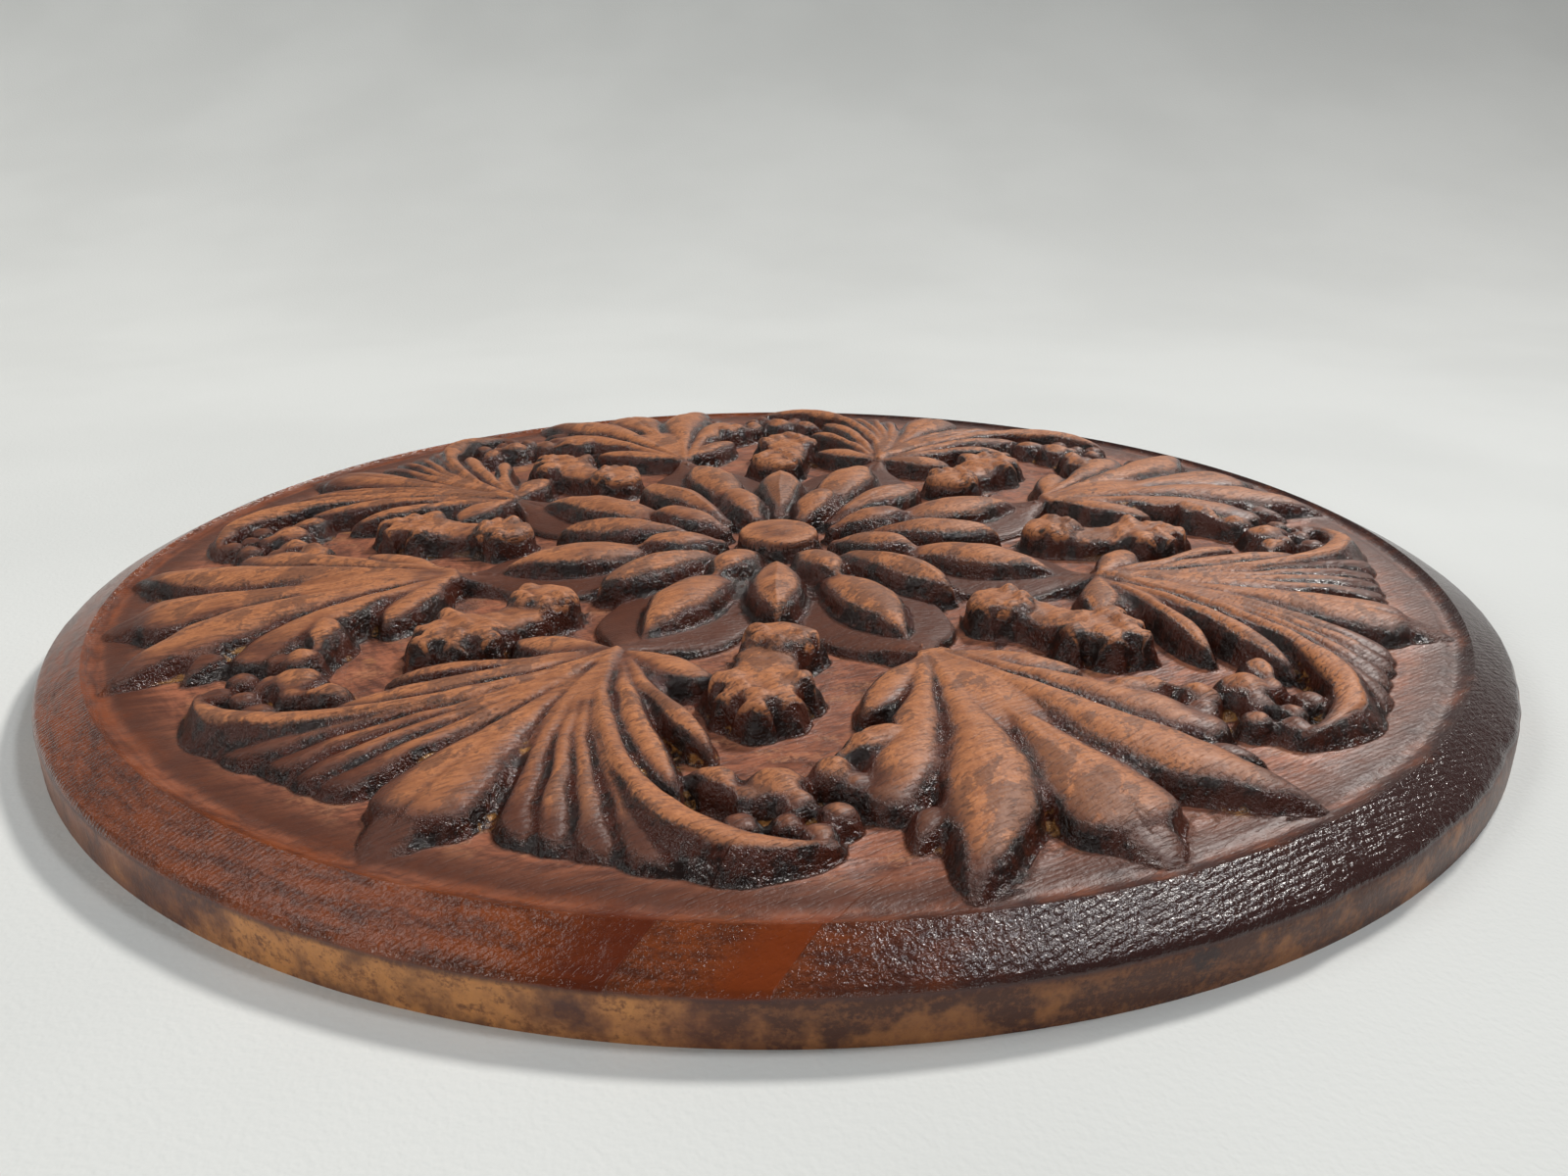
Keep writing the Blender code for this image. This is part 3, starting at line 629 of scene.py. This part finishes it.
def finish(material):
    """The stain, wear, varnish, grain and painted shade of the board, from its own marks and places."""
    material.use_nodes = True
    tree = material.node_tree
    shader = tree.nodes["Principled BSDF"]
    w = Wire(tree)
    place = w.make("ShaderNodeTexCoord", output="Object")

    def mark(name):
        return w.make("ShaderNodeAttribute", {"attribute_name": name}, output="Fac")

    def noise(size, detail=4.0, rough=0.6, long=1.0, turn=0.0, shift=0.0):
        """Cloudy noise with blotches about size metres across, drawn out along the turn."""
        laid = {"Vector": place, "Location": (shift, shift, shift), "Rotation": (0, 0, radians(turn)),
                "Scale": (size * long, size, size)}
        spot = w.make("ShaderNodeMapping", {"vector_type": "TEXTURE"}, laid)
        clouds = {"Vector": spot, "Scale": 1.0, "Detail": detail, "Roughness": rough}
        return w.make("ShaderNodeTexNoise", None, clouds)

    rise, hollow, nook, steep = mark("rise"), mark("hollow"), mark("nook"), mark("steep")
    x, y, z = (w.make("ShaderNodeSeparateXYZ", None, {"Vector": place}, output=i) for i in range(3))
    radius = (x * x + y * y).maths("SQRT")
    on_wall = 1.0 - z.between(WALL_HEIGHT - 0.0010, WALL_HEIGHT - 0.0004)
    on_rim = radius.between(LIP_RADIUS - 0.0015, LIP_RADIUS + 0.0005)

    # Streaks left by the wiping cloth run round the rim, so they follow the radius
    streaks = {"X": x.maths("DIVIDE", radius) * 14.0, "Y": y.maths("DIVIDE", radius) * 14.0,
               "Z": radius * 420.0}
    around = w.make("ShaderNodeCombineXYZ", None, streaks)
    clouds = {"Vector": around, "Scale": 1.0, "Detail": 5.0, "Roughness": 0.65}
    wiped = w.make("ShaderNodeTexNoise", None, clouds)

    grain = noise(0.0022, 5, 0.65, long=9.0, turn=20)
    blotch = noise(0.024, 4, 0.6)
    patch = noise(0.010, 6, 0.62, shift=0.3)
    island = noise(0.0075, 7, 0.66, long=1.8, turn=70, shift=0.7)
    dust = noise(0.0009, 4, 0.7, shift=1.1)
    hatch = noise(0.0006, 2, 0.5, long=6.0, turn=CUT_TURN + 4, shift=1.9)

    # The ground: red-brown stain over the wood, streaked and dusty
    ground = (wiped * 0.55 + grain * 0.45).between(0.38, 0.62).blend(shade(166, 102, 74), shade(98, 57, 44))
    dusty = (patch * 0.6 + grain * 0.4 + (dust - 0.5) * 0.35).between(0.52, 0.62) * 0.6
    colour = dusty.blend(ground, shade(186, 126, 90))

    # High parts rubbed back to orange wood, least in the rosette, with islands of dull film left on
    # them, and dark stain with painted shade on their low sides
    carving = rise.between(0.02, 0.10)
    outside_rosette = radius.between(0.030, 0.070)
    rub_score = rise.between(0.40, 0.90) * 0.70 - hollow * 0.75 - steep * 0.35 + (blotch - 0.5) * 1.4
    rub_score = rub_score - (1.0 - outside_rosette) * 0.20
    rub = (rub_score + (island - 0.5) * 0.8 + (dust - 0.5) * 0.5).between(0.12, 0.70)
    rubbed = (grain * 0.4 + dust * 0.6).between(0.35, 0.65).blend(shade(192, 124, 78), shade(148, 90, 56))
    film = grain.between(0.35, 0.65).blend(shade(124, 74, 52), shade(88, 50, 37))
    skin = rub.blend(film, rubbed)
    left_over = (island * 0.6 + blotch * 0.4 + (dust - 0.5) * 0.05).between(0.525, 0.550)
    skin = (left_over * 0.55).blend(skin, shade(84, 54, 44))
    colour = carving.blend(colour, skin)
    # Painted shade with the stain: the lowest parts of the carving are darkened
    low_stain_and_shade = carving * (1.0 - (rise + (patch - 0.5) * 0.5 + (dust - 0.5) * 0.3).between(0.36, 0.70))
    colour = (low_stain_and_shade * 0.8).blend(colour, shade(82, 42, 26))

    # Short dark strokes where the cutter tore the wood
    strokes = hatch.between(0.53, 0.64) * (0.30 + steep * 0.5).maths("MINIMUM", 0.8) * (1.0 - on_wall)
    colour = strokes.blend(colour, shade(72, 42, 32))

    # Varnish pooled on the steep sides and in the hollows, with painted shade: near-black colour in the
    # nooks, hollows and on the steep sides
    wet_and_shade_score = nook * 0.5 + hollow * 0.32 + steep * (0.45 + carving * 0.50)
    wet_and_shade_score = wet_and_shade_score + (patch - 0.5) * 0.9 + (dust - 0.5) * 0.5
    wet_and_shade = wet_and_shade_score.between(0.42, 0.80)
    deep = (noise(0.006, 3, 0.6, shift=2.3) + (dust - 0.5) * 0.3).between(0.40, 0.62)
    # Painted shade: the pooled places turn near black
    colour = (wet_and_shade * 0.95).blend(colour, deep.blend(shade(72, 30, 17), shade(22, 12, 10)))

    # Yellow spots worn through beside a few leaf tips
    worn = (hollow * 0.5 + (noise(0.013, 3, 0.5, shift=3.1) - 0.5) * 2.0).between(0.50, 0.62)
    worn = worn * grain.between(0.45, 0.60) * (1.0 - on_rim) * radius.between(0.070, 0.110)
    colour = (worn * 0.8).blend(colour, shade(196, 140, 78))

    # The rim: glossy stain that runs a little over the lip, darker to the right
    rim_stain = (radius + (patch - 0.5) * 0.014).between(LIP_RADIUS - 0.0060, LIP_RADIUS + 0.0010)
    streak = (wiped * 0.7 + dust * 0.3).between(0.38, 0.64)
    rim_wood = streak.blend(shade(128, 62, 26), shade(78, 36, 19))
    rim_wood = (x + (patch - 0.5) * 0.06).between(-0.012, 0.040).blend(rim_wood, shade(54, 31, 28))

    # Two slanting brush marks of smooth orange lacquer at its front, soft on the left and cut off
    # sharply on the right
    slant = x - (y + 0.155) * 0.75
    near_front = 1.0 - y.between(-0.142, -0.138)
    brush_marks = [
        # soft left edge, sharp right edge, colour
        (-0.0340, -0.0140, shade(88, 32, 10)),
        (-0.0040, 0.0085, shade(120, 50, 14)),
    ]
    bare = None
    for soft_edge, sharp_edge, lacquer in brush_marks:
        cut_off = 1.0 - slant.between(sharp_edge - 0.0004, sharp_edge)
        mark_here = slant.between(soft_edge, sharp_edge - 0.004) * cut_off * near_front
        rim_wood = (mark_here * (0.45 + blotch * 0.7)).blend(rim_wood, lacquer)
        bare = mark_here if bare is None else bare.maths("MAXIMUM", mark_here)
    colour = rim_stain.blend(colour, rim_wood)

    # The wall: thin varnish over mottled yellow-brown wood, golden left of the middle, with one dark
    # smudge on the right and a dark line under its corner
    mottle = noise(0.012, 5, 0.62, shift=4.3) * 0.7 + blotch * 0.3
    golden = 1.0 - (mottle + (x + 0.050).maths("ABSOLUTE") * 4.4).between(0.52, 0.72)
    wall_wood = mottle.between(0.46, 0.60).blend(shade(134, 82, 56), shade(88, 52, 40))
    right_side = (mottle * 0.04 + x).between(0.0, 0.03)
    right_wood = mottle.between(0.44, 0.52).blend(shade(150, 96, 52), shade(78, 42, 26))
    wall_wood = right_side.blend(wall_wood, right_wood)
    wall_wood = golden.blend(wall_wood, shade(200, 136, 76))
    off_smudge = (x - 0.0596).maths("ABSOLUTE") + (z - 0.006).maths("ABSOLUTE") * 0.5
    smudge = 1.0 - off_smudge.between(0.0018, 0.0028)
    wall_wood = (smudge * 0.8).blend(wall_wood, shade(52, 36, 36))
    wall_wood = (grain * 0.5 + dust * 0.5).between(0.47, 0.62).blend(wall_wood, shade(126, 78, 46))
    corner = z.between(WALL_HEIGHT - 0.0016, WALL_HEIGHT - 0.0006)
    wall_wood = (corner * 0.8).blend(wall_wood, shade(74, 44, 40))
    colour = on_wall.blend(colour, wall_wood)
    tree.links.new(colour.socket, shader.inputs["Base Color"])

    # Gloss follows the varnish
    rim_gloss = on_rim * (1.0 - on_wall)
    gloss = wet_and_shade.maths("MAXIMUM", rim_gloss)
    rough = 0.46 + carving * rub * 0.12 - gloss * 0.28 - on_wall * 0.08 + (dust - 0.5) * 0.16
    tree.links.new(rough.socket, shader.inputs["Roughness"])
    shader.inputs["Specular IOR Level"].default_value = 0.44

    # The cutter's lines, the grain and the crust of the varnish
    turned = w.make("ShaderNodeMapping", None, {"Vector": place, "Rotation": (0, 0, radians(-CUT_TURN))})
    across = w.make("ShaderNodeSeparateXYZ", None, {"Vector": turned}, output=1)
    wobble = noise(0.006, 2, 0.5, shift=5.9) * 0.0003
    line = ((across + wobble) * (np.pi / CUT_STEP)).maths("SINE").maths("ABSOLUTE")
    line_depth = (on_rim * 0.5 + steep * 0.6 + 0.35).maths("MINIMUM", 1.0)
    line_depth = line_depth * (1.0 - on_wall) * (1.0 - bare)
    crust_height = (0.14 + wet_and_shade * 0.55 + rim_gloss * 0.17) * (1.0 - bare * 0.8)
    crust = noise(0.0012, 3, 0.65, shift=6.7) * crust_height * 0.00085
    lumps = noise(0.004, 3, 0.5, shift=7.3) * 0.00022
    beads = noise(0.0005, 2, 0.6, shift=8.1) * crust_height * 0.00028
    relief = line * line_depth * 0.000050 + crust + beads + lumps + grain * 0.00004 - strokes * 0.00010
    bump = w.make("ShaderNodeBump", None, {"Height": relief, "Strength": 1.0, "Distance": 1.0})
    tree.links.new(bump.socket, shader.inputs["Normal"])


finish(wood)
mesh.materials.clear()
mesh.materials.append(wood)
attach(roundel, "root")
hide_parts("carved_roundel")

# The table and the light
# A pale leather-grained table that bends up into a backdrop. The key light stands behind on the
# right at 45 degrees, and four small lamps stand round the board.

BEND = 1.0
BEND_START = 0.36


def table_mesh():
    """A sweep of the table that rises into the backdrop behind."""
    profile = [(-2.5, 0.0)]
    for degrees in range(0, 49, 3):
        turn = radians(degrees)
        profile.append((BEND_START + BEND * np.sin(turn), BEND - BEND * np.cos(turn)))
    points = [(side * 3.0, y, z) for y, z in profile for side in (-1, 1)]
    faces = [(2 * i, 2 * i + 1, 2 * i + 3, 2 * i + 2) for i in range(len(profile) - 1)]
    mesh = bpy.data.meshes.new("table")
    mesh.from_pydata(points, [], faces)
    mesh.shade_smooth()
    return mesh


def pale_leather():
    """Off-white leather cloth, faintly clouded, with a fine pebbled grain and hardly any sheen."""
    material = bpy.data.materials.new("pale_leather")
    material.use_nodes = True
    tree = material.node_tree
    shader = tree.nodes["Principled BSDF"]
    w = Wire(tree)
    place = w.make("ShaderNodeTexCoord", output="Object")
    pebbles = w.make("ShaderNodeTexNoise", None, {"Vector": place, "Scale": 900.0, "Detail": 1.0})
    clouds = w.make("ShaderNodeTexNoise", None, {"Vector": place, "Scale": 5.0, "Detail": 3.0})
    colour = clouds.between(0.35, 0.65).blend(shade(220, 222, 220), shade(214, 216, 214))
    tree.links.new(colour.socket, shader.inputs["Base Color"])
    shader.inputs["Roughness"].default_value = 0.8
    shader.inputs["Specular IOR Level"].default_value = 0.08
    bump = w.make("ShaderNodeBump", None, {"Height": pebbles * 0.00012, "Strength": 1.0, "Distance": 1.0})
    tree.links.new(bump.socket, shader.inputs["Normal"])
    return material


table = bpy.data.objects.new("table", table_mesh())
bpy.context.scene.collection.objects.link(table)
table.data.materials.append(pale_leather())

sun_data = bpy.data.lights.new("key", "SUN")
sun_data.energy = 2.2
sun_data.angle = radians(7.5)
sun_data.color = (1.0, 0.97, 0.93)
sun = bpy.data.objects.new("key", sun_data)
sun.rotation_euler = Vector((-0.441, -0.545, -0.713)).to_track_quat("-Z", "Y").to_euler()
bpy.context.scene.collection.objects.link(sun)

lamps = [
    # name, power, size, place, what it points at, colour
    ("overhead", 2.8, 0.15, (0.43, -0.045, 0.91), (0.0, 0.0, 0.0), (0.95, 0.97, 1.0)),
    ("fill", 8.0, 0.50, (-1.65, -1.45, 0.85), (0.0, 0.0, 0.0), (1.0, 0.98, 0.95)),
    ("glint", 1.0, 0.10, (0.25, -1.20, 0.30), (0.0, 0.0, 0.0), (1.0, 1.0, 1.0)),
    ("wash", 6.3, 0.80, (-1.0, 0.0, 1.2), (-0.6, 0.8, 0.1), (1.0, 1.0, 0.98)),
]
for name, power, size, spot, target, tint in lamps:
    lamp_data = bpy.data.lights.new(name, "AREA")
    lamp_data.energy = power
    lamp_data.size = size
    lamp_data.color = tint
    lamp = bpy.data.objects.new(name, lamp_data)
    lamp.location = spot
    lamp.rotation_euler = (Vector(target) - Vector(spot)).to_track_quat("-Z", "Y").to_euler()
    bpy.context.scene.collection.objects.link(lamp)

world = bpy.data.worlds.new("room")
world.use_nodes = True
world.node_tree.nodes["Background"].inputs["Color"].default_value = (0.9, 0.92, 0.93, 1)
world.node_tree.nodes["Background"].inputs["Strength"].default_value = 0.13
bpy.context.scene.world = world
bpy.context.scene.view_settings.view_transform = "Standard"
